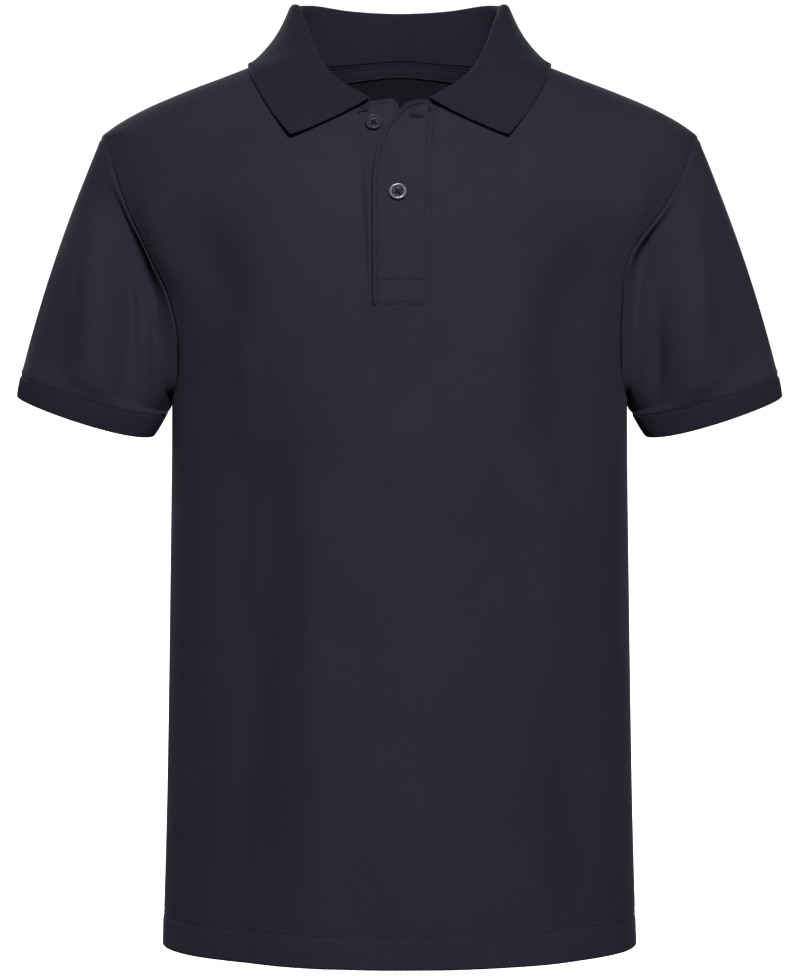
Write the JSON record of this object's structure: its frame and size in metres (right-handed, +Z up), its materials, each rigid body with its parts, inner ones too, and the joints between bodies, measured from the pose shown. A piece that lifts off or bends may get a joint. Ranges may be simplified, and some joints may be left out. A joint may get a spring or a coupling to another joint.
{
  "type": "short-sleeved polo shirt",
  "caption": "Child's navy pique polo shirt filled out as worn, open hollow form with a folded rib collar, part-open button placket, set-in short sleeves with rib cuffs and a stitched hem.",
  "frame": {"origin": "middle of the neck opening, between the two points where the shoulder lines meet the neck seam and the shirt hangs on the wearer", "axes": "+Z up along the shirt's length, +Y to its back, +X to the wearer's left (the viewer's right)"},
  "size_m": [0.4972, 0.2073, 0.6163],
  "materials": {
    "pique": "matte pique knit",
    "rib": "matte rib knit",
    "tape": "matte twill",
    "button": "gloss"
  },
  "bodies": {
    "root": {"front_panel": "pique", "back_panel": "pique", "placket_under": "pique", "placket_over": "pique", "sleeve_left": "pique", "sleeve_right": "pique", "cuff_left": "rib", "cuff_right": "rib", "collar": "rib", "neck_tape": "tape", "button_top": "button", "button_second": "button"}
  },
  "joints": []
}
